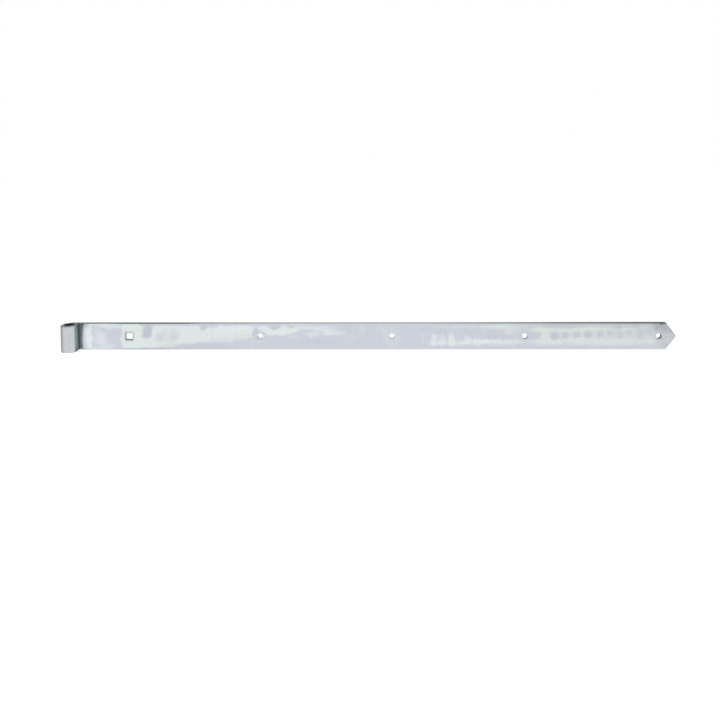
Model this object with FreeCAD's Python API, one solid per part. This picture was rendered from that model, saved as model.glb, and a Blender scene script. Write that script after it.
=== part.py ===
import FreeCAD, Part
import math
import os
from FreeCAD import Vector

# Strap hinge band with a rolled eye, in millimetres.
#
# One flat steel bar: its left end is rolled forward into an eye for a round
# hook pin, its right end is sheared to a point, and it is punched with a
# square hole and four round holes on its centreline.
#
# Frame: the origin is on the eye's axis at half the band's height. +Z runs up
# along the eye's axis, +X along the strap towards its point, and -Y is the
# normal of the strap's front face. The back face lies against the gate.

# ---- driving dimensions -------------------------------------------------
OVERALL_LENGTH = 1000.0      # outside of the eye to the tip of the point
BAR_WIDTH = 45.0             # height of the strap and of the eye
BAR_THICKNESS = 5.0
BAR_EDGE_RADIUS = 1.3        # rounded long edges of the hot-rolled bar

BORE_DIAMETER = 16.5         # for a 16 mm hook pin
EYE_END_GAP = 0.35           # from the rolled end's outer corner to the strap's face
EYE_END_EDGE = 0.3           # softened edges of the rolled end

SQUARE_HOLE = 11.0           # for the square neck of an M10 coach bolt
SQUARE_HOLE_CORNER = 0.8
SQUARE_HOLE_X = 95.0
ROUND_HOLE_DIAMETER = 9.0    # for 8 mm coach screws
HOLE_PITCH = 216.0           # all five holes are evenly spaced
ROUND_HOLE_X = tuple(SQUARE_HOLE_X + i * HOLE_PITCH for i in range(1, 5))
PUNCH_EDGE = 0.35            # rolled-over rim where the punch went in

TIP_CHAMFER_LENGTH = 17.5    # along the strap, from each corner to the point
TIP_APEX_RADIUS = 1.8
TIP_EDGE = 0.3               # softened rim of the sheared point

# ---- derived ------------------------------------------------------------
R_IN = BORE_DIAMETER / 2
R_OUT = R_IN + BAR_THICKNESS
Y_FRONT = R_IN               # the strap's front face is tangent to the bore
Y_BACK = R_OUT               # the back face is tangent to the eye's outside
HALF = BAR_WIDTH / 2
TIP_X = OVERALL_LENGTH - R_OUT
# The roll ends where its outer corner just clears the strap's front face.
END_ANGLE = math.asin((Y_FRONT - EYE_END_GAP) / R_OUT)


def polar(radius, angle):
    return Vector(radius * math.cos(angle), radius * math.sin(angle), -HALF)


def at(x, y):
    return Vector(x, y, -HALF)


# ---- the bar, rolled at one end -----------------------------------------
# Side profile, seen along the eye's axis: straight bar, then the roll, which
# goes round by way of the left and the front to the cut end at END_ANGLE.
inner_end = polar(R_IN, END_ANGLE)
outer_end = polar(R_OUT, END_ANGLE)
middle = (math.pi / 2 + 2 * math.pi + END_ANGLE) / 2
profile = Part.Wire([
    Part.LineSegment(at(0, Y_BACK), at(TIP_X, Y_BACK)).toShape(),
    Part.LineSegment(at(TIP_X, Y_BACK), at(TIP_X, Y_FRONT)).toShape(),
    Part.LineSegment(at(TIP_X, Y_FRONT), at(0, Y_FRONT)).toShape(),
    Part.Arc(at(0, Y_FRONT), polar(R_IN, middle), inner_end).toShape(),
    Part.LineSegment(inner_end, outer_end).toShape(),
    Part.Arc(outer_end, polar(R_OUT, middle), at(0, Y_BACK)).toShape(),
])
bar = Part.Face(profile).extrude(Vector(0, 0, BAR_WIDTH))


def flat_at(edge, z):
    """The edge lies in the plane at height z."""
    box = edge.BoundBox
    return abs(box.ZMin - z) < 1e-4 and abs(box.ZMax - z) < 1e-4


# The bar's four long edges are rounded, along the strap and round the eye.
# The short edges of the two cut ends are not.
long_edges = [
    e for e in bar.Edges
    if (flat_at(e, HALF) or flat_at(e, -HALF)) and e.Length > 2 * BAR_THICKNESS
]
print("long edges rounded:", len(long_edges))
bar = bar.makeFillet(BAR_EDGE_RADIUS, long_edges)


def on_rolled_end(edge):
    """The edge bounds the flat cut face at the end of the roll."""
    normal = Vector(-math.sin(END_ANGLE), math.cos(END_ANGLE), 0)
    return all(abs(v.Point.dot(normal)) < 1e-4 and v.Point.x > 0 for v in edge.Vertexes)


end_edges = [e for e in bar.Edges if on_rolled_end(e)]
print("edges of the rolled end softened:", len(end_edges))
bar = bar.makeFillet(EYE_END_EDGE, end_edges)

# ---- the point ----------------------------------------------------------
# Two straight shear cuts meet in a small rounded apex on the centreline.
slope = math.atan2(HALF, TIP_CHAMFER_LENGTH)          # cut angle from the X axis
back_off = TIP_APEX_RADIUS / math.sin(slope) - TIP_APEX_RADIUS
sharp_x = TIP_X + back_off                            # where the cuts would meet
centre_x = TIP_X - TIP_APEX_RADIUS
touch = Vector(
    centre_x + TIP_APEX_RADIUS * math.sin(slope), -50, TIP_APEX_RADIUS * math.cos(slope)
)
corner_x = sharp_x - HALF / math.tan(slope)
reach = 60.0                                          # the cutter runs past the bar
low_x = sharp_x - reach / math.tan(slope)
outline = Part.Wire([
    Part.LineSegment(Vector(low_x, -50, reach), touch).toShape(),
    Part.Arc(
        touch, Vector(TIP_X, -50, 0), Vector(touch.x, -50, -touch.z)
    ).toShape(),
    Part.LineSegment(Vector(touch.x, -50, -touch.z), Vector(low_x, -50, -reach)).toShape(),
    Part.LineSegment(Vector(low_x, -50, -reach), Vector(-reach, -50, -reach)).toShape(),
    Part.LineSegment(Vector(-reach, -50, -reach), Vector(-reach, -50, reach)).toShape(),
    Part.LineSegment(Vector(-reach, -50, reach), Vector(low_x, -50, reach)).toShape(),
])
keep = Part.Face(outline).extrude(Vector(0, 100, 0))
bar = bar.common(keep)
print("corner of the point at x = %.2f, apex at x = %.2f" % (corner_x, TIP_X))

# ---- punched holes ------------------------------------------------------
square = Part.makeBox(
    SQUARE_HOLE, 3 * BAR_THICKNESS, SQUARE_HOLE,
    Vector(SQUARE_HOLE_X - SQUARE_HOLE / 2, Y_FRONT - BAR_THICKNESS, -SQUARE_HOLE / 2),
)
square = square.makeFillet(
    SQUARE_HOLE_CORNER,
    [e for e in square.Edges if abs(e.BoundBox.YLength - 3 * BAR_THICKNESS) < 1e-6],
)
bar = bar.cut(square)
for x in ROUND_HOLE_X:
    bar = bar.cut(Part.makeCylinder(
        ROUND_HOLE_DIAMETER / 2, 3 * BAR_THICKNESS,
        Vector(x, Y_FRONT - BAR_THICKNESS, 0), Vector(0, 1, 0),
    ))


def on_front(edge):
    box = edge.BoundBox
    return abs(box.YMin - Y_FRONT) < 1e-4 and abs(box.YMax - Y_FRONT) < 1e-4


# The punch pulls the front face down into a small rounded rim at each hole.
rims = [
    e for e in bar.Edges
    if on_front(e) and e.BoundBox.XMax < TIP_X - 20 and e.BoundBox.ZLength < 12
    and e.BoundBox.XLength < 12 and abs(e.BoundBox.Center.z) < 8
]
print("rim edges softened:", len(rims))
bar = bar.makeFillet(PUNCH_EDGE, rims)

# The shear leaves a small soft rim round the point, front and back.
def on_point(edge):
    box = edge.BoundBox
    flat = abs(box.YMin - box.YMax) < 1e-4
    return flat and box.XMin > corner_x - 0.01 and box.XMax > corner_x + 2


tip_rims = [e for e in bar.Edges if on_point(e)]
print("rim edges of the point:", len(tip_rims))
bar = bar.makeFillet(TIP_EDGE, tip_rims)

# ---- checks on the geometry, then the file ------------------------------
bar = bar.removeSplitter()
box = bar.BoundBox
print("valid", bar.isValid(), "solids", len(bar.Solids), "faces", len(bar.Faces))
print("box x %.3f..%.3f y %.3f..%.3f z %.3f..%.3f" % (
    box.XMin, box.XMax, box.YMin, box.YMax, box.ZMin, box.ZMax))
print("volume %.1f mm3, %.3f kg of steel" % (bar.Volume, bar.Volume * 7.85e-6))

os.makedirs("parts", exist_ok=True)
bar.Solids[0].exportStep("parts/strap_band.step")
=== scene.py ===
import math

import bmesh
import bpy
from mathutils import Matrix, Vector


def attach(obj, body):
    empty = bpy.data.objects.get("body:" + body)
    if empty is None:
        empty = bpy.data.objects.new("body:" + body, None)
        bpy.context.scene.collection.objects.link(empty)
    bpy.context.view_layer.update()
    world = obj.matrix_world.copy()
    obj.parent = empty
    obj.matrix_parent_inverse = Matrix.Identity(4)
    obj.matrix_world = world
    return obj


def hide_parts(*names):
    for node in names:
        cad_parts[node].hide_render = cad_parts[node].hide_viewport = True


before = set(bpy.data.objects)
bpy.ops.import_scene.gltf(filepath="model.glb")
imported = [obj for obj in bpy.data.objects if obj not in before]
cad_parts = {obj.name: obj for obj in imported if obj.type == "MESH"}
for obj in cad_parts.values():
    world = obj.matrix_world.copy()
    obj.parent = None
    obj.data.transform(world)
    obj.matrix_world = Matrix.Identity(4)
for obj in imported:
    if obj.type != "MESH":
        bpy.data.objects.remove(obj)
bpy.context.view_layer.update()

scene = bpy.context.scene

# The band's own sizes in millimetres, as in the frame. INSET keeps the skin a
# hair inside the frame's box.
INSET = 0.03
R_IN = 8.25
R_OUT = 13.25 - INSET
THICK = R_OUT - R_IN
HALF = 22.5 - INSET
TIP_X = 986.75 - INSET
EDGE_R = 1.3
END_ANGLE = math.asin((8.25 - 0.35) / 13.25)
CURL = math.pi * 1.5 + END_ANGLE           # angle that the roll turns through
R_MID = (R_IN + R_OUT) / 2
ROUND_X = (311.0, 527.0, 743.0, 959.0)
SQUARE_X = 95.0
BLOCK = 12.0                               # half side of the mesh patch round a hole
ROW = 3.0                                  # row spacing of the grid


# --------------------------------------------------------------------------
# mesh of the band: one closed skin, swept along the bar's own length
# --------------------------------------------------------------------------
def place(s, n, z):
    """A point of the bar at length s (negative inside the roll), depth n under the front face, height z."""
    if s >= 0:
        return Vector((s, R_IN + n, z)) * 0.001
    turn = -s / R_MID
    # rolling draws the outside of the bar in and presses the inside out
    ease = min(1.0, turn / 0.6)
    if z > 0:
        z = z * (1 - ease * (0.008 + 0.018 * n / THICK))
    else:
        z = z * (1 - ease * 0.011 * n / THICK)
    a = math.pi / 2 + turn
    r = R_IN + n
    return Vector((r * math.cos(a), r * math.sin(a), z)) * 0.001


def section():
    """The bar's section as a closed loop of (n, z, tag). Front and back rows come with their row number."""
    rows = [-HALF + EDGE_R] + [k * ROW for k in range(-6, 7)] + [HALF - EDGE_R]
    loop = [(0.0, z, ("f", j)) for j, z in enumerate(rows)]

    def arc(cn, cz, a0, a1, steps=6):
        for k in range(1, steps):
            a = a0 + (a1 - a0) * k / steps
            loop.append((cn + EDGE_R * math.cos(a), cz + EDGE_R * math.sin(a), None))

    top, low, deep = HALF - EDGE_R, -HALF + EDGE_R, THICK - EDGE_R
    arc(EDGE_R, top, math.pi, math.pi / 2)
    for k in range(5):
        loop.append((EDGE_R + (deep - EDGE_R) * k / 4, HALF, None))
    arc(deep, top, math.pi / 2, 0)
    last = len(rows) - 1
    loop += [(THICK, z, ("b", last - j)) for j, z in enumerate(reversed(rows))]
    arc(deep, low, 0, -math.pi / 2)
    for k in range(5):
        loop.append((deep - (deep - EDGE_R) * k / 4, -HALF, None))
    arc(EDGE_R, low, -math.pi / 2, -math.pi)
    return rows, loop


def stations():
    """Lengths along the bar at which the section is placed."""
    turns = 96
    out = [-CURL * R_MID * (1 - k / turns) for k in range(turns)]
    marks = [0.0]
    for x in (SQUARE_X,) + ROUND_X:
        marks += [x - BLOCK, x + BLOCK]
    marks.append(992.0)
    for a, b in zip(marks, marks[1:]):
        steps = max(1, round((b - a) / ROW))
        out += [a + (b - a) * k / steps for k in range(steps)]
    out.append(marks[-1])
    return out


def hole_outline(kind, grow, count):
    """count points round a hole, from the middle of its right side, anticlockwise in (x, z). grow widens it."""
    pts = []
    if kind == "round":
        for k in range(count):
            a = 2 * math.pi * k / count
            pts.append(((4.5 + grow) * math.cos(a), (4.5 + grow) * math.sin(a)))
        return pts
    half, r = 5.5 + grow, 0.8 + grow
    q = count // 8
    c = half - r
    for corner in range(4):
        turn = corner * math.pi / 2
        local = [(half, c * k / (q // 2)) for k in range(q // 2)]
        steps = q
        local += [
            (c + r * math.cos(a), c + r * math.sin(a))
            for a in (math.pi / 2 * k / steps for k in range(steps))
        ]
        local += [(c * (1 - k / (q // 2)), half) for k in range(q // 2)]
        for x, z in local:
            pts.append((x * math.cos(turn) - z * math.sin(turn), x * math.sin(turn) + z * math.cos(turn)))
    return pts


# painted shade on each hole's wall, by hole: 1 the darkest
HOLE_WALL_SHADE = {95.0: 1.0, 311.0: 0.04, 527.0: 0.3, 743.0: 0.5, 959.0: 1.0}


def wall_shade(x, px, pz):
    """Painted shade on the wall of the hole at x, 1 the darkest; painted lighter on the side of the wall towards the
    eye.
    """
    return HOLE_WALL_SHADE[x] * (1.0 - 0.75 * max(0.0, -px / math.hypot(px, pz)) ** 1.5)


# painted shade, too, on the ring of metal that the punch dragged round each hole's front rim
RIM_SHADE = {95.0: 0.64, 311.0: 0.02, 527.0: 0.07, 743.0: 0.13, 959.0: 0.22}
SPREAD = {"square": 1.9, "round": 0.9}


def dish(distance):
    """How far the punch drew the front face down at that distance from the rim, in mm."""
    return 0.16 * math.exp(-max(0.0, distance) / 2.2)


bm = bmesh.new()
along = bm.verts.layers.float.new("bar_along")
depth = bm.verts.layers.float.new("bar_depth")
# painted shade round and in the holes, 0 none to 1 full
hole_shade_layer = bm.verts.layers.float.new("punch_shade")


def vert(s, n, z, shade=0.0):
    v = bm.verts.new(place(s, n, z))
    v[along] = s
    v[depth] = n / THICK
    v[hole_shade_layer] = shade
    return v


rows, loop = section()
where = stations()
count = len(loop)
tag_index = {t: k for k, (_, _, t) in enumerate(loop) if t}
inner = {j for j, z in enumerate(rows) if abs(z) < BLOCK - 1e-6}
blocks = [("square", SQUARE_X)] + [("round", x) for x in ROUND_X]


def block_of(s):
    for kind, x in blocks:
        if abs(s - x) < BLOCK - 1e-6:
            return kind, x
    return None


grid = []
for s in where:
    ring = []
    for n, z, tag in loop:
        hole = block_of(s)
        if hole and tag and tag[1] in inner:
            ring.append(None)
            continue
        ring.append(vert(s, n, z))
    grid.append(ring)

for i in range(len(where) - 1):
    for k in range(count):
        a, b = grid[i][k], grid[i][(k + 1) % count]
        c, d = grid[i + 1][(k + 1) % count], grid[i + 1][k]
        ta, tb = loop[k][2], loop[(k + 1) % count][2]
        middle = (where[i] + where[i + 1]) / 2
        in_block = block_of(middle) and ta and tb and ta[0] == tb[0] and (
            abs((rows[ta[1]] + rows[tb[1]]) / 2) < BLOCK
        )
        if in_block:
            continue
        bm.faces.new((a, b, c, d))

# the patch round each hole, front and back, and the hole's wall
for kind, x in blocks:
    i0 = min(range(len(where)), key=lambda i: abs(where[i] - (x - BLOCK)))
    i1 = min(range(len(where)), key=lambda i: abs(where[i] - (x + BLOCK)))
    j0 = min(range(len(rows)), key=lambda j: abs(rows[j] + BLOCK))
    j1 = min(range(len(rows)), key=lambda j: abs(rows[j] - BLOCK))
    jm = (j0 + j1) // 2
    im = (i0 + i1) // 2
    border = [(i1, j) for j in range(jm, j1)]
    border += [(i, j1) for i in range(i1, i0, -1)]
    border += [(i0, j) for j in range(j1, j0, -1)]
    border += [(i, j0) for i in range(i0, i1)]
    border += [(i1, j) for j in range(j0, jm)]
    total = len(border)
    outer_flat = [(where[i] - x, rows[j]) for i, j in border]
    blend_rings = 6

    def patch(side):
        """Rings from the block's border in to the hole's rim, as lists of vertices."""
        n0 = 0.0 if side == "f" else THICK
        rim = hole_outline(kind, 0.35 if side == "f" else 0.0, total)
        rings = [[grid[i][tag_index[(side, j)]] for i, j in border]]
        for m in range(1, blend_rings + 1):
            t = m / blend_rings
            t = 1 - (1 - t) ** 1.35
            ring = []
            for (ox, oz), (rx, rz) in zip(outer_flat, rim):
                px, pz = ox + (rx - ox) * t, oz + (rz - oz) * t
                gap = math.hypot(px - rx, pz - rz)
                fade = 1 - max(0.0, 1 - t) ** 3
                n = n0 + (dish(gap) * fade if side == "f" else 0.0)
                shade = math.exp(-(gap / SPREAD[kind]) ** 1.5) * RIM_SHADE[x] if side == "f" else 0.0
                ring.append(vert(x + px, n, pz, shade))
            rings.append(ring)
        return rings

    front, back = patch("f"), patch("b")
    # the hole's wall; its painted shade grows from the rim's into the wall's
    wall = [front[-1]]
    for m in range(1, 6):
        a = math.pi / 2 * m / 5
        grow = 0.35 * (1 - math.sin(a))
        n = 0.16 + 0.35 * (1 - math.cos(a))
        wall.append([
            vert(x + px, n, pz, RIM_SHADE[x] + (wall_shade(x, px, pz) - RIM_SHADE[x]) * m / 5)
            for px, pz in hole_outline(kind, grow, total)
        ])
    for n in (1.2, 2.4, 3.6, 4.7):
        wall.append([vert(x + px, n, pz, wall_shade(x, px, pz)) for px, pz in hole_outline(kind, 0.0, total)])
    wall.append(back[-1])

    def stitch(one, two, flip):
        for m in range(total):
            quad = (one[m], one[(m + 1) % total], two[(m + 1) % total], two[m])
            bm.faces.new(quad[::-1] if flip else quad)

    for one, two in zip(front, front[1:]):
        stitch(one, two, False)
    for one, two in zip(wall, wall[1:]):
        stitch(one, two, False)
    for one, two in zip(back, back[1:]):
        stitch(one, two, True)


# the rolled end: three smaller sections round it off, then a flat cap
def shrunk(ring_s, d):
    out = []
    for n, z, _ in loop:
        n2 = THICK / 2 + (n - THICK / 2) * (1 - d / (THICK / 2))
        z2 = z * (1 - d / HALF)
        out.append(vert(ring_s, n2, z2))
    return out


end = where[0]
rings = [grid[0]]
for m in (1, 2, 3):
    a = math.pi / 2 * m / 3
    rings.append(shrunk(end - 0.3 * math.sin(a), 0.3 * (1 - math.cos(a))))
for one, two in zip(rings, rings[1:]):
    for k in range(count):
        bm.faces.new((two[k], two[(k + 1) % count], one[(k + 1) % count], one[k]))
cap = rings[-1]
nr = len(rows)
for j in range(nr - 1):
    f0, f1 = tag_index[("f", j)], tag_index[("f", j + 1)]
    b0, b1 = tag_index[("b", j)], tag_index[("b", j + 1)]
    bm.faces.new((cap[f0], cap[b0], cap[b1], cap[f1]))
top_run = list(range(tag_index[("f", nr - 1)], tag_index[("b", nr - 1)] + 1))
low_run = list(range(tag_index[("b", 0)], count)) + [0]
bm.faces.new([cap[k] for k in reversed(top_run)])
bm.faces.new([cap[k] for k in reversed(low_run)])

# a plain lid on the far end, which the shear cuts take off again
lid = bm.faces.new(grid[-1])
bm.normal_update()


def cut(point, normal):
    """Cuts the skin by a plane, drops what lies in front of it and closes the cut."""
    geom = bm.verts[:] + bm.edges[:] + bm.faces[:]
    got = bmesh.ops.bisect_plane(
        bm, geom=geom, dist=1e-7, plane_co=point, plane_no=normal,
        clear_outer=True, clear_inner=False,
    )
    edges = [
        e for e in got["geom_cut"]
        if isinstance(e, bmesh.types.BMEdge) and e.is_boundary
    ]
    if edges:
        filled = bmesh.ops.edgeloop_fill(bm, edges=edges)
        for f in filled["faces"]:
            f.normal_update()


slope = math.atan2(22.5, 17.5)
apex_r = 1.8
across = math.sin(slope)
centre = Vector((TIP_X - apex_r, 0, 0))
front_y, back_y = R_IN, R_IN + THICK
# straight cuts, then the apex arc between them
turns = [slope_k for slope_k in (1.0, -1.0)]
normals = [Vector((math.sin(slope), 0, k * math.cos(slope))) for k in turns]
limit = math.pi / 2 - slope
for k in range(-3, 4):
    a = limit * k / 4
    normals.append(Vector((math.cos(a), 0, math.sin(a))))
for nrm in normals:
    cut((centre + nrm * apex_r) * 0.001, nrm)
# soft rims on both faces of the point
for nrm in normals:
    for y, side in ((front_y, -1.0), (back_y, 1.0)):
        for tilt in (22.5, 45.0, 67.5):
            t = math.radians(tilt)
            d = nrm * math.cos(t) + Vector((0, side, 0)) * math.sin(t)
            rim = 0.3
            base = centre + nrm * (apex_r - rim) + Vector((0, y - side * rim, 0))
            cut((base + d * rim) * 0.001, d)

bmesh.ops.remove_doubles(bm, verts=bm.verts[:], dist=2e-6)
bmesh.ops.dissolve_degenerate(bm, edges=bm.edges[:], dist=1e-6)
bmesh.ops.holes_fill(bm, edges=[e for e in bm.edges if e.is_boundary], sides=0)
bmesh.ops.recalc_face_normals(bm, faces=bm.faces[:])

for f in bm.faces:
    f.smooth = True
open_edges = [e for e in bm.edges if not e.is_manifold]
for e in bm.edges:
    if e.is_manifold and e.calc_face_angle(0.0) > math.radians(38):
        e.smooth = False
print("band skin: faces", len(bm.faces), "open edges", len(open_edges))

mesh = bpy.data.meshes.new("band_skin")
bm.to_mesh(mesh)
bm.free()
band = bpy.data.objects.new("band_skin", mesh)
scene.collection.objects.link(band)
weigh = band.modifiers.new("weigh", "WEIGHTED_NORMAL")
weigh.keep_sharp = True
weigh.weight = 60


# --------------------------------------------------------------------------
# node helpers
# --------------------------------------------------------------------------
class Graph:
    def __init__(self, tree):
        self.tree = tree
        tree.nodes.clear()

    def add(self, kind, **settings):
        node = self.tree.nodes.new(kind)
        for key, value in settings.items():
            setattr(node, key, value)
        return node

    def put(self, socket, value):
        if isinstance(value, bpy.types.NodeSocket):
            self.tree.links.new(value, socket)
        elif isinstance(value, (int, float)) and socket.type in ("VECTOR", "RGBA"):
            socket.default_value = [value] * len(socket.default_value)
        elif socket.type == "RGBA" and len(value) == 3:
            socket.default_value = (*value, 1.0)
        else:
            socket.default_value = value

    def math(self, op, *args, clamp=False):
        node = self.add("ShaderNodeMath", operation=op, use_clamp=clamp)
        for socket, value in zip(node.inputs, args):
            self.put(socket, value)
        return node.outputs[0]

    def vector(self, op, *args, out=0):
        node = self.add("ShaderNodeVectorMath", operation=op)
        for socket, value in zip(node.inputs, args):
            self.put(socket, value)
        return node.outputs[out]

    def ramp(self, value, low, high, a=0.0, b=1.0, smooth=True):
        node = self.add("ShaderNodeMapRange", interpolation_type="SMOOTHSTEP" if smooth else "LINEAR")
        for socket, v in zip(node.inputs, (value, low, high, a, b)):
            self.put(socket, v)
        return node.outputs[0]

    def mix(self, factor, a, b):
        node = self.add("ShaderNodeMix", data_type="RGBA")
        node.clamp_factor = True
        self.put(node.inputs[0], factor)
        self.put(node.inputs[6], a)
        self.put(node.inputs[7], b)
        return node.outputs[2]

    def blend(self, factor, a, b):
        node = self.add("ShaderNodeMix", data_type="FLOAT")
        self.put(node.inputs[0], factor)
        self.put(node.inputs[2], a)
        self.put(node.inputs[3], b)
        return node.outputs[0]

    def noise(self, vector, scale, detail=2.0, rough=0.5, distortion=0.0, colour=False):
        node = self.add("ShaderNodeTexNoise")
        self.put(node.inputs["Vector"], vector)
        node.inputs["Scale"].default_value = scale
        node.inputs["Detail"].default_value = detail
        node.inputs["Roughness"].default_value = rough
        node.inputs["Distortion"].default_value = distortion
        return node.outputs["Color" if colour else "Fac"]


def linear(r, g, b, gain=1.0):
    """A colour given as it shows on a screen, 0 to 255, as linear light."""
    def one(v):
        v = v / 255
        return (v / 12.92 if v <= 0.04045 else ((v + 0.055) / 1.055) ** 2.4) * gain
    return (one(r), one(g), one(b))


# --------------------------------------------------------------------------
# the zinc finish
# --------------------------------------------------------------------------
GAIN = 1 / 0.958
LAVENDER = linear(203, 207, 218, GAIN)
LAVENDER_FAR = linear(202, 208, 214, GAIN)
LAVENDER_FAR_HIGH = linear(203, 208, 211, GAIN)
PALE = linear(224, 232, 230, GAIN)
PALE_FAR = linear(217, 224, 223, GAIN)
PALE_FAR_HIGH = linear(217, 225, 220, GAIN)
BLUSH = linear(224, 225, 234, GAIN)
ICE = linear(229, 236, 238, GAIN)
DUSK = linear(193, 196, 206, GAIN)
DUSK_FAR = linear(193, 197, 202, GAIN)
MOTTLE = linear(172, 178, 186, GAIN)
SAGE = linear(206, 213, 215, GAIN)
EYE_GREY = linear(200, 204, 209, GAIN)
EDGE_GREY = linear(210, 212, 209, GAIN)
TIP_GREY = linear(206, 209, 214, GAIN)
TIP_DARK = linear(167, 170, 174, GAIN)
STAIN = linear(118, 134, 128, GAIN)
# painted shade colour for the bore, a dark brown-grey
BORE_SHADE = linear(88, 76, 62, GAIN)

# Cloudy patches of the passivate on the strap's front, in millimetres:
# centre x, centre z, half width, half height, strength.
PALE_AT = (
    (28.4, 0.7, 5, 29.9, 1),
    (99.3, 0.7, 17.6, 29.9, 1),
    (40, 19.6, 20, 2.4, 0.75),
    (70, 17.4, 20, 4, 0.8),
    (38.6, -19.4, 13, 2.6, 0.55),
    (318.3, 12, 11.5, 5.8, 0.95),
    (350.5, 13.6, 6, 4.5, 0.8),
    (308, -8, 10, 3.2, 0.32),
    (335.5, 6.8, 21.3, 5.3, 1),
    (354.4, 10.4, 15.5, 4, 0.6),
    (365, 8.6, 10.5, 3.4, 0.7),
    (375, 19.4, 21.3, 2.7, 0.35),
    (383.9, 13.6, 22.1, 2.8, 0.55),
    (396.9, 4.3, 12.3, 4.2, 0.6),
    (417.5, 12.4, 19.6, 4.7, 0.6),
    (421.5, 5.6, 9, 3.8, 0.75),
    (440.3, 5.6, 9.8, 4.2, 0.5),
    (458.3, -4.9, 13.1, 4.3, 0.18),
    (365.7, -1.2, 10.6, 3, 0.3),
    (478.1, 10.7, 3.8, 7.9, 0.35),
    (526.1, 0.8, 15.5, 15.4, 0.2),
    (509.8, 12, 7.4, 6.6, 0.2),
    (575.8, -3.8, 4.1, 8.3, 0.22),
    (596, -5.7, 4.6, 8.6, 0.68),
    (608.6, -6, 5.6, 8.3, 0.55),
    (624, -5.3, 5.6, 9.6, 0.95),
    (611.7, -11.3, 22.9, 3.3, 0.5),
    (639.3, -11.5, 9.8, 3.2, 0.45),
    (664.5, -10, 22.1, 4.3, 0.85),
    (707.6, -9.5, 32.7, 4.5, 0.85),
    (649, -6.5, 6, 6.5, 0.55),
    (665.3, -6, 6.5, 3.7, 0.35),
    (644.1, 15.1, 32.7, 2, 0.35),
    (702.5, 15.4, 26.2, 3.6, 0.75),
    (717.2, 7.6, 8.2, 5.1, 0.35),
    (730.1, 10.3, 4.9, 4.2, 0.35),
    (767.8, 9.1, 15.9, 5, 0.85),
    (774.8, 0.3, 8.3, 5.8, 0.85),
    (776.1, -8.7, 24.1, 5, 0.8),
    (820.7, 10.9, 44.2, 4.6, 0.85),
    (862, -8.9, 84, 5.4, 1),
    (893.3, 12.1, 45.8, 4.8, 0.65),
    (864.4, 0.9, 75.2, 7.5, 0.5),
    (880.4, 13.3, 9.8, 4, 0.25),
    (909.4, 13.2, 8.2, 3.7, 0.25),
    (852.1, 12.5, 7.4, 4.5, 0.25),
    (949.2, -6.1, 12.3, 6.2, 0.45),
)
NOTCH_AT = (
    (218, 18.6, 7.5, 6.8, 1.1),
    (230, 19, 8, 4.4, 0.7),
    (332.5, 17.6, 8.5, 7.2, 1.1),
    (359.7, 15.8, 6.4, 2.5, 0.7),
    (304.4, 4, 4, 9, 0.75),
    (756, 1.6, 12, 5.8, 1),
    (127.1, 18, 8.7, 7.6, 1),
    (123.9, 7, 8.6, 9, 1.05),
    (310.5, 3.5, 9.5, 7, 0.9),
)
BLUSH_AT = (
    (47.4, -4.3, 9.8, 10.8, 1),
    (39.6, 12.4, 7.4, 6.6, 0.35),
    (22.5, 0.7, 2, 19.9, 0.6),
    (439.1, 5.4, 7.8, 3.3, 0.5),
    (717.2, 8, 6.5, 3.8, 0.35),
    (322.3, 3, 8.2, 2.5, 0.2),
    (203.8, 3.9, 8.2, 10, 0.15),
    (438.8, 20.3, 6.5, 3.3, 0.2),
)
ICE_AT = (
    (29.4, -0.9, 3.9, 19.9, 0.95),
    (268, 13.2, 24, 3.4, 0.5),
    (60.7, -16.7, 8.6, 4.3, 0.6),
    (52.2, 18.5, 6.5, 3.1, 0.35),
    (346.9, 5.3, 9.8, 3.5, 0.8),
    (595.4, -0.9, 4.1, 3.5, 0.5),
    (422.7, 5.2, 5.3, 3.2, 0.6),
    (384.7, 13.7, 14.7, 2, 0.5),
    (596.2, -11, 4.1, 3, 0.5),
    (182.8, 2.7, 3.7, 6.2, 0.4),
    (394.4, 1.3, 4.9, 2.5, 0.3),
    (231.6, -10.7, 11.5, 2.1, 0.2),
    (702.7, -10.2, 32.7, 2.2, 0.3),
)
DUSK_AT = (
    (123.6, 5.2, 8.5, 8.8, 0.95),
    (127, 16, 7.7, 5.3, 0.65),
    (71.9, -0.1, 10.2, 15, 0.1),
    (25.6, 0.7, 1.7, 20, 0.2),
    (146, -3.5, 4.1, 7.5, 0.25),
    (152.4, 8.5, 3.6, 5.4, 0.25),
    (170, 1, 6, 12, 0.34),
    (162.8, 12.3, 3.3, 3.3, 0.2),
    (155, -2, 17, 10, 0.3),
    (210, -17.4, 54, 5.6, 0.5),
    (219.7, 15, 4.6, 5, 0.65),
    (335.6, 14.9, 6.5, 3.8, 0.55),
    (303.8, 8.5, 4, 9, 0.5),
    (754.5, 1.2, 9.5, 4.6, 0.5),
    (791.8, -0.1, 6.4, 5.2, 0.95),
    (808.4, 1.6, 5.3, 5, 0.95),
    (826.8, 2.0, 5.8, 5.2, 0.8),
    (845.2, 3.3, 6.9, 5.5, 0.95),
    (863.8, 2.9, 5.2, 6.5, 0.85),
    (881.5, 5.7, 6.5, 4.3, 0.8),
    (896.6, 4.2, 4.3, 8.1, 0.7),
    (912.1, 5.8, 6.5, 4.2, 0.8),
    (929.5, 3.7, 4.9, 7.3, 0.8),
    (942.6, 9.1, 4.9, 4.8, 0.6),
    (894, 16.5, 4.1, 5, 0.45),
    (923, 16.5, 5.7, 5, 0.45),
    (752.3, 15, 5.3, 6.6, 0.35),
    (608.4, 6.5, 9.8, 6.2, 0.35),
    (655.5, 6.7, 14.7, 5.8, 0.3),
    (694.5, 1.9, 18, 6.6, 0.25),
    (413.2, -10.4, 36.8, 5.8, 0.22),
    (413.2, -9.5, 7.4, 4.2, 0.25),
    (806, 18, 34, 4.2, 1),
    (905, 17.6, 42, 4, 0.9),
    (482, -4.6, 31.9, 5, 0.08),
)
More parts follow.
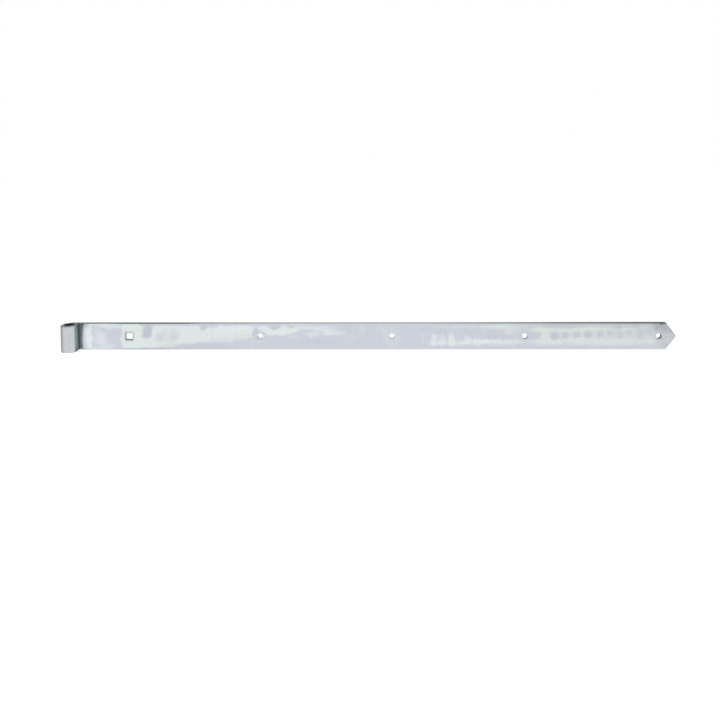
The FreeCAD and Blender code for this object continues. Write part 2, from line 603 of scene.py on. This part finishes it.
SAGE_AT = (
    (364.9, -1, 9.8, 2.8, 0.5),
    (459.9, -4.9, 9.8, 4, 0.5),
    (507.4, 11.5, 9.8, 6.2, 0.4),
    (519.5, -8.8, 5.7, 4.2, 0.5),
    (526.9, 1.2, 13.1, 12.5, 0.4),
    (870.9, 0.9, 19.6, 7.5, 0.35),
    (575.8, -6.3, 9.8, 5, 0.4),
    (901.6, -0.8, 27.8, 5.8, 0.35),
    (741.7, -18, 16.4, 3.3, 0.3),
    (882, 12.8, 8.2, 3.7, 0.4),
    (787.1, -18, 6.5, 3.3, 0.2),
)


def zinc():
    material = bpy.data.materials.new("blue_zinc_plate")
    material.use_nodes = True
    g = Graph(material.node_tree)
    out = g.add("ShaderNodeOutputMaterial")
    shader = g.add("ShaderNodeBsdfPrincipled")
    g.tree.links.new(shader.outputs[0], out.inputs[0])
    coords = g.add("ShaderNodeTexCoord")
    mm = g.vector("SCALE", coords.outputs["Object"])
    mm.node.inputs["Scale"].default_value = 1000.0
    s = g.add("ShaderNodeAttribute", attribute_name="bar_along").outputs["Fac"]
    n = g.add("ShaderNodeAttribute", attribute_name="bar_depth").outputs["Fac"]
    punch = g.add("ShaderNodeAttribute", attribute_name="punch_shade").outputs["Fac"]
    split = g.add("ShaderNodeSeparateXYZ")
    g.put(split.inputs[0], mm)
    x, y, z = split.outputs

    # position along the bar and across it, a little disturbed, so that no
    # patch has a clean outline
    flat = g.add("ShaderNodeCombineXYZ")
    g.put(flat.inputs[0], s)
    g.put(flat.inputs[1], g.math("MULTIPLY", n, 60.0))
    g.put(flat.inputs[2], z)
    spot = flat.outputs[0]
    wob = g.vector("SUBTRACT", g.noise(spot, 0.06, 2.0, 0.5, colour=True), (0.5, 0.5, 0.5))
    fine = g.vector("SUBTRACT", g.noise(spot, 0.26, 3.0, 0.6, colour=True), (0.5, 0.5, 0.5))
    warped = g.vector("MULTIPLY_ADD", wob, (10.0, 0.0, 5.0), spot)
    warped = g.vector("MULTIPLY_ADD", fine, (6.5, 0.0, 4.5), warped)

    def patch(cx, cz, rx, rz, edge):
        """1 in the middle of a patch, 0 outside; edge is the half width of its border in mm."""
        soft = min(0.9, max(0.15, edge / min(rx, rz)))
        q = g.vector("MULTIPLY_ADD", warped, (1 / rx, 0.0, 1 / rz), (-cx / rx, 0.0, -cz / rz))
        return g.ramp(g.vector("DOT_PRODUCT", q, q, out=1), (1 + soft) ** 2 - soft ** 2, (1 - soft) ** 2 - soft ** 2)

    def layer(rows, start=0.0, sign=1.0, edge=3.0):
        total = start
        for cx, cz, rx, rz, weight in rows:
            total = g.math("MULTIPLY_ADD", patch(cx, cz, rx, rz, edge), sign * weight, total)
        return total

    # fine streaks across the bar, and long ones along it
    across = g.noise(g.vector("MULTIPLY", spot, (0.20, 0.2, 0.035)), 1.0, 3.0, 0.55)
    across = g.math("SUBTRACT", across, 0.5)
    length = g.noise(g.vector("MULTIPLY", spot, (0.02, 0.2, 0.38)), 1.0, 4.0, 0.6)
    length = g.math("SUBTRACT", length, 0.5)

    # one long pale field, whose lower edge climbs towards the first round hole
    split_warped = g.add("ShaderNodeSeparateXYZ")
    g.put(split_warped.inputs[0], warped)
    wx, _, wz = split_warped.outputs
    shore = g.math("ADD", g.ramp(wx, 150.0, 215.0, -18.0, -10.2), g.math("ADD", g.ramp(wx, 215.0, 262.0, 0.0, 1.6, smooth=False), g.ramp(wx, 262.0, 300.0, 0.0, 6.2, smooth=False)))
    above = g.math("SUBTRACT", wz, shore)
    leaning = g.math("MULTIPLY_ADD", wz, -0.3, wx)
    field = g.math("MULTIPLY", g.ramp(above, -2.4, 2.4), g.ramp(wz, 19.6, 15.4))
    field = g.math("MULTIPLY", field, g.math("MULTIPLY", g.ramp(wx, 106.0, 114.0), g.ramp(leaning, 311.0, 289.0)))
    shallow = g.math("MULTIPLY", g.ramp(above, 9.0, 5.0, 0.0, 0.3), g.ramp(wx, 214.0, 236.0))
    field = g.math("MULTIPLY", field, g.math("SUBTRACT", 0.93, shallow))
    tone = layer(PALE_AT, g.math("ADD", field, 0.04))
    tone = layer(NOTCH_AT, tone, -1.0)
    tone = g.math("MULTIPLY_ADD", across, 0.55, tone)
    tone = g.math("MULTIPLY_ADD", length, 0.36, tone)
    cloudy_front = g.ramp(tone, 0.0, 1.02, smooth=False)

    # the back, the edges and the eye carry the same finish in clouds of their own
    free = g.noise(g.vector("MULTIPLY", spot, (0.016, 0.016, 0.045)), 1.0, 5.0, 0.62, 0.6)
    free = g.math("MULTIPLY_ADD", length, 0.35, free)
    cloudy_free = g.ramp(free, 0.40, 0.66)
    front = g.math("MULTIPLY", g.ramp(n, 0.34, 0.2), g.ramp(s, 14.0, 20.0))
    cloudy = g.blend(front, cloudy_free, cloudy_front)

    far = g.ramp(x, 620.0, 800.0)
    high = g.ramp(z, -5.0, 6.0)
    colour = g.mix(
        cloudy,
        g.mix(far, LAVENDER, g.mix(high, LAVENDER_FAR, LAVENDER_FAR_HIGH)),
        g.mix(far, PALE, g.mix(high, PALE_FAR, PALE_FAR_HIGH)),
    )

    def tint(colour, rows, target, edge=4.0):
        amount = g.math("MULTIPLY", layer(rows, 0.0, 1.0, edge), front, clamp=True)
        return g.mix(amount, colour, target)

    colour = tint(colour, SAGE_AT, SAGE)
    colour = tint(colour, DUSK_AT, g.mix(g.ramp(x, 812.0, 845.0), DUSK, DUSK_FAR))
    colour = tint(colour, BLUSH_AT, BLUSH, 8.0)
    colour = tint(colour, ICE_AT, ICE)
    # a thin darker line along the lower edge of the strap's first quarter
    low = g.math("MULTIPLY", g.ramp(z, -18.9, -20.6), g.ramp(z, -22.3, -21.6))
    low = g.math("MULTIPLY", low, g.math("MULTIPLY", g.ramp(x, 70.0, 100.0), g.ramp(x, 182.0, 140.0)))
    colour = g.mix(g.math("MULTIPLY", g.math("MULTIPLY", low, front), 0.85), colour, linear(178, 181, 188))

    # the narrow faces are a plainer grey than the front
    narrow = g.math("MULTIPLY", g.ramp(g.math("ABSOLUTE", z), 20.9, 21.9), g.ramp(s, 14.0, 20.0))
    colour = g.mix(g.math("MULTIPLY", narrow, 0.8), colour, EDGE_GREY)

    # the eye: an even grey
    eye = g.ramp(s, 16.0, 11.0)
    colour = g.mix(g.math("MULTIPLY", eye, 0.9), colour, EYE_GREY)
    # the sheared end is greyer, most of all towards its upper corner
    tip = g.ramp(g.vector("DOT_PRODUCT", warped, (1.0, 0.0, 0.3), out=1), 945.0, 964.0)
    upper = g.ramp(g.vector("DOT_PRODUCT", warped, (0.15, 0.0, 1.0), out=1), 148.0, 156.0)
    speck = g.ramp(g.noise(spot, 0.17, 3.0, 0.7), 0.36, 0.66, 0.0, 0.45)
    grey = g.mix(upper, g.mix(speck, TIP_GREY, TIP_DARK), g.mix(speck, TIP_DARK, TIP_GREY))
    colour = g.mix(g.math("MULTIPLY", tip, 0.88), colour, grey)
    stain = g.math("MULTIPLY", patch(963.2, 20.2, 4.0, 3.4, 2.5), g.ramp(z, 22.0, 21.2, 0.2, 0.85))
    colour = g.mix(stain, colour, STAIN)
    colour = g.mix(g.math("MULTIPLY", narrow, g.blend(tip, 0.0, 0.7)), colour, EDGE_GREY)
    grain = g.noise(spot, 0.9, 5.0, 0.65)
    colour = g.mix(g.ramp(grain, 0.30, 0.74, 0.10, 0.0), colour, DUSK)
    mottle = g.ramp(g.noise(spot, 0.24, 3.0, 0.65), 0.42, 0.70)
    colour = g.mix(g.math("MULTIPLY", mottle, g.blend(eye, 0.1, 0.3)), colour, MOTTLE)

    # angle round the roll from the front, in degrees: 0 at the front, 90 facing the strap
    turn = g.math("SUBTRACT", g.math("MULTIPLY", s, -180 / math.pi / R_MID), 180.0)
    outside = g.ramp(n, 0.35, 0.75)
    wall = g.ramp(g.math("ABSOLUTE", z), 21.9, 20.9)
    # painted shade on the roll's outside where it turns in towards the strap
    fold_shade = g.ramp(turn, 50.0, 72.0, 0.0, 0.42)
    fold_shade = g.math("ADD", fold_shade, g.ramp(turn, 80.0, 88.0, 0.0, 0.22))
    fold_shade = g.math("MULTIPLY", g.math("MULTIPLY", fold_shade, outside), g.ramp(z, 22.0, 21.4))
    # the strap just beside the roll's end: a line of painted shade, wider towards both edges of the bar
    lean = g.math("MULTIPLY_ADD", z, -0.04, s)
    crease_shade = g.ramp(lean, 14.6, 13.0, 0.0, 0.32)
    beside = g.math("ADD", g.ramp(z, -5.0, 12.0, 0.0, 0.36, smooth=False), g.ramp(z, 12.0, 17.0, 0.0, 0.08))
    beside = g.math("ADD", beside, g.ramp(z, -13.0, -17.0, 0.0, 0.35))
    beside = g.math("MULTIPLY", beside, g.math("MULTIPLY", g.ramp(lean, 14.0, 17.0), g.ramp(lean, 21.0, 17.4)))
    # painted shade in the strap's upper and lower corners beside the roll
    corner = g.math("MULTIPLY", g.ramp(z, 12.5, 19.5, 0.0, 0.3), g.math("MULTIPLY", g.ramp(s, 36.0, 21.0), g.ramp(s, 15.0, 18.0)))
    foot = g.math("MULTIPLY", g.ramp(z, -18.4, -20.4, 0.0, 0.22), g.math("MULTIPLY", g.ramp(s, 38.0, 22.0), g.ramp(s, 13.0, 16.0)))
    crease_shade = g.math("ADD", g.math("ADD", crease_shade, beside), g.math("ADD", corner, foot))
    crease_shade = g.math("MULTIPLY", crease_shade, g.ramp(n, 0.3, 0.1))
    crease_shade = g.math("MULTIPLY", g.math("MULTIPLY", crease_shade, g.ramp(s, 8.0, 10.0)), wall)
    # painted shade in the bore
    inside = g.math("MULTIPLY", g.math("MULTIPLY", wall, g.ramp(s, 11.0, 8.0)), g.ramp(n, 0.08, 0.02))
    shade = g.math("SUBTRACT", 1.0, fold_shade)
    shade = g.math("MULTIPLY", shade, g.math("SUBTRACT", 1.0, crease_shade))
    shade = g.math("MULTIPLY", shade, g.blend(inside, 1.0, 0.45))
    # painted shade on the holes' rims and walls
    shade = g.math("MULTIPLY", shade, g.blend(punch, 1.0, 0.36))
    # painted shade on the strap's upper front edge near the eye, and a painted shadow line just under it towards the
    # point
    arris_shade = g.math("MULTIPLY", g.ramp(z, 20.0, 21.0), g.ramp(n, 0.3, 0.2))
    arris_shade = g.math("MULTIPLY", arris_shade, g.math("MULTIPLY", g.ramp(x, 66.0, 88.0, 0.16, 0.46), g.ramp(x, 225.0, 180.0)))
    under = g.math("MULTIPLY", g.ramp(z, 19.3, 20.4), g.math("MULTIPLY", g.ramp(z, 22.0, 21.4), g.ramp(n, 0.3, 0.2)))
    under = g.math("MULTIPLY", under, g.ramp(x, 560.0, 930.0, 0.0, 0.48, smooth=False))
    shade = g.math("MULTIPLY", shade, g.math("SUBTRACT", 1.0, g.math("MULTIPLY", g.math("ADD", arris_shade, under), g.ramp(s, 14.0, 20.0))))
    colour = g.mix(g.math("MULTIPLY", inside, 0.92), colour, BORE_SHADE)
    tinted = g.add("ShaderNodeCombineColor")
    g.put(tinted.inputs[0], g.math("POWER", shade, 1.16))
    g.put(tinted.inputs[1], shade)
    g.put(tinted.inputs[2], g.math("POWER", shade, 1.12))
    shaded = g.add("ShaderNodeMix", data_type="RGBA", blend_type="MULTIPLY")
    g.put(shaded.inputs[0], 1.0)
    g.put(shaded.inputs[6], colour)
    g.put(shaded.inputs[7], tinted.outputs[0])
    g.put(shader.inputs["Base Color"], shaded.outputs[2])
    shader.inputs["Metallic"].default_value = 1.0

    rough = g.noise(spot, 0.3, 4.0, 0.6)
    rough = g.ramp(rough, 0.3, 0.7, 0.2, 0.28, smooth=False)
    rough = g.math("ADD", rough, g.math("MULTIPLY", inside, 0.3))
    rough = g.math("ADD", rough, g.math("MULTIPLY", tip, 0.08))
    rough = g.math("ADD", rough, g.math("MULTIPLY", punch, 0.15))
    near_fold = g.math("MULTIPLY", g.ramp(s, 34.0, 24.0), g.ramp(s, 11.0, 13.0))
    rough = g.math("SUBTRACT", rough, g.math("MULTIPLY", near_fold, 0.03))
    g.put(shader.inputs["Roughness"], rough)

    wave = g.noise(spot, 0.07, 2.0, 0.5)
    height = g.math("ADD", g.math("MULTIPLY", grain, 0.0035), g.math("MULTIPLY", wave, 0.03))
    bump = g.add("ShaderNodeBump")
    bump.inputs["Strength"].default_value = 0.6
    bump.inputs["Distance"].default_value = 0.001
    g.put(bump.inputs["Height"], height)
    g.put(shader.inputs["Normal"], bump.outputs[0])
    return material


finish = zinc()
band.data.materials.append(finish)
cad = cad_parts["strap_band"]
cad.data.materials.clear()
cad.data.materials.append(finish)
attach(band, "root")
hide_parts("strap_band")


# --------------------------------------------------------------------------
# floor, light, camera
# --------------------------------------------------------------------------
scene.view_settings.view_transform = "Standard"
scene.view_settings.look = "None"
scene.view_settings.exposure = 0.0
scene.view_settings.gamma = 1.0

floor_z = -0.02262
size = 8.0
floor_mesh = bpy.data.meshes.new("floor")
floor_mesh.from_pydata(
    [(-size, -size, floor_z), (size, -size, floor_z), (size, size, floor_z), (-size, size, floor_z)],
    [], [(0, 1, 2, 3)],
)
floor = bpy.data.objects.new("floor", floor_mesh)
scene.collection.objects.link(floor)
floor.visible_glossy = False
pale = bpy.data.materials.new("pale_floor")
pale.use_nodes = True
g = Graph(pale.node_tree)
surface = g.add("ShaderNodeBsdfPrincipled")
surface.inputs["Base Color"].default_value = (0.86, 0.86, 0.86, 1)
surface.inputs["Roughness"].default_value = 0.9
surface.inputs["Specular IOR Level"].default_value = 0.0
surface.inputs["Emission Color"].default_value = (1, 1, 1, 1)
surface.inputs["Emission Strength"].default_value = 0.93
g.tree.links.new(surface.outputs[0], g.add("ShaderNodeOutputMaterial").inputs[0])
floor_mesh.materials.append(pale)

world = bpy.data.worlds.new("studio")
scene.world = world
world.use_nodes = True
world.cycles.sampling_method = "NONE"
g = Graph(world.node_tree)
direction = g.add("ShaderNodeSeparateXYZ")
g.put(direction.inputs[0], g.add("ShaderNodeTexCoord").outputs["Generated"])
dx, dy, dz = direction.outputs
azimuth = g.math("MULTIPLY", g.math("ARCTAN2", dx, g.math("MULTIPLY", dy, -1.0)), 180 / math.pi)
height = g.math("MULTIPLY", g.math("ARCSINE", dz), 180 / math.pi)
turned = g.math("ABSOLUTE", azimuth)
lobe = g.math("MINIMUM", g.ramp(azimuth, 78.0, 130.0, 1.0, 0.25), g.ramp(azimuth, -130.0, -35.0, 0.38, 1.0))
lobe = g.math("MULTIPLY", lobe, g.ramp(height, -6.0, 22.0, 1.0, 0.2))
behind_low = g.math("MULTIPLY", g.ramp(turned, 100.0, 140.0), g.ramp(height, -14.0, 6.0, 0.85, 0.0))
behind_up = g.math("MINIMUM", g.ramp(dx, -0.37, -0.12, 0.24, 0.8), g.ramp(dx, 0.38, 0.12, 0.22, 0.8))
behind_up = g.math("MAXIMUM", behind_up, g.math("MULTIPLY", g.ramp(dx, -0.35, -0.46, 0.0, 0.75), g.ramp(height, 40.0, 24.0)))
behind_up = g.math("MULTIPLY", behind_up, g.math("MULTIPLY", g.ramp(turned, 110.0, 140.0), g.ramp(height, -2.0, 8.0)))
overhead = g.math("MULTIPLY", g.ramp(height, 25.0, 55.0), g.ramp(g.math("ABSOLUTE", dx), 0.36, 0.14, 0.16, 0.37))
level = g.math("MAXIMUM", g.math("MAXIMUM", lobe, behind_low), g.math("MAXIMUM", behind_up, g.math("MAXIMUM", overhead, 0.12)))


def glow(strength):
    node = g.add("ShaderNodeBackground")
    g.put(node.inputs["Color"], (1.0, 1.0, 1.0))
    g.put(node.inputs["Strength"], strength)
    return node.outputs[0]


def choose(factor, a, b):
    node = g.add("ShaderNodeMixShader")
    g.put(node.inputs[0], factor)
    g.tree.links.new(a, node.inputs[1])
    g.tree.links.new(b, node.inputs[2])
    return node.outputs[0]


path = g.add("ShaderNodeLightPath")
look = choose(path.outputs["Is Glossy Ray"], glow(0.12), glow(level))
look = choose(path.outputs["Is Camera Ray"], look, glow(1.0))
g.tree.links.new(look, g.add("ShaderNodeOutputWorld").inputs[0])

yaw, pitch, roll = (math.radians(v) for v in (-1.0029, 3.3692, -0.3164))
cy, sy, cp, sp = math.cos(yaw), math.sin(yaw), math.cos(pitch), math.sin(pitch)
forward = Vector((sy * cp, cy * cp, -sp))
right = Vector((cy, -sy, 0))
up = right.cross(forward)
cr, sr = math.cos(roll), math.sin(roll)
right, up = cr * right + sr * up, cr * up - sr * right
camera = bpy.data.objects.new("camera", bpy.data.cameras.new("camera"))
scene.collection.objects.link(camera)
camera.matrix_world = Matrix((
    (right.x, up.x, -forward.x, 0.4944),
    (right.y, up.y, -forward.y, -1.0479),
    (right.z, up.z, -forward.z, 0.29341),
    (0, 0, 0, 1),
))
camera.data.sensor_width = 36.0
camera.data.lens = 655.776 / 720 * 36
camera.data.shift_y = -165 / 720
camera.data.clip_start = 0.01
camera.data.clip_end = 100.0
scene.camera = camera
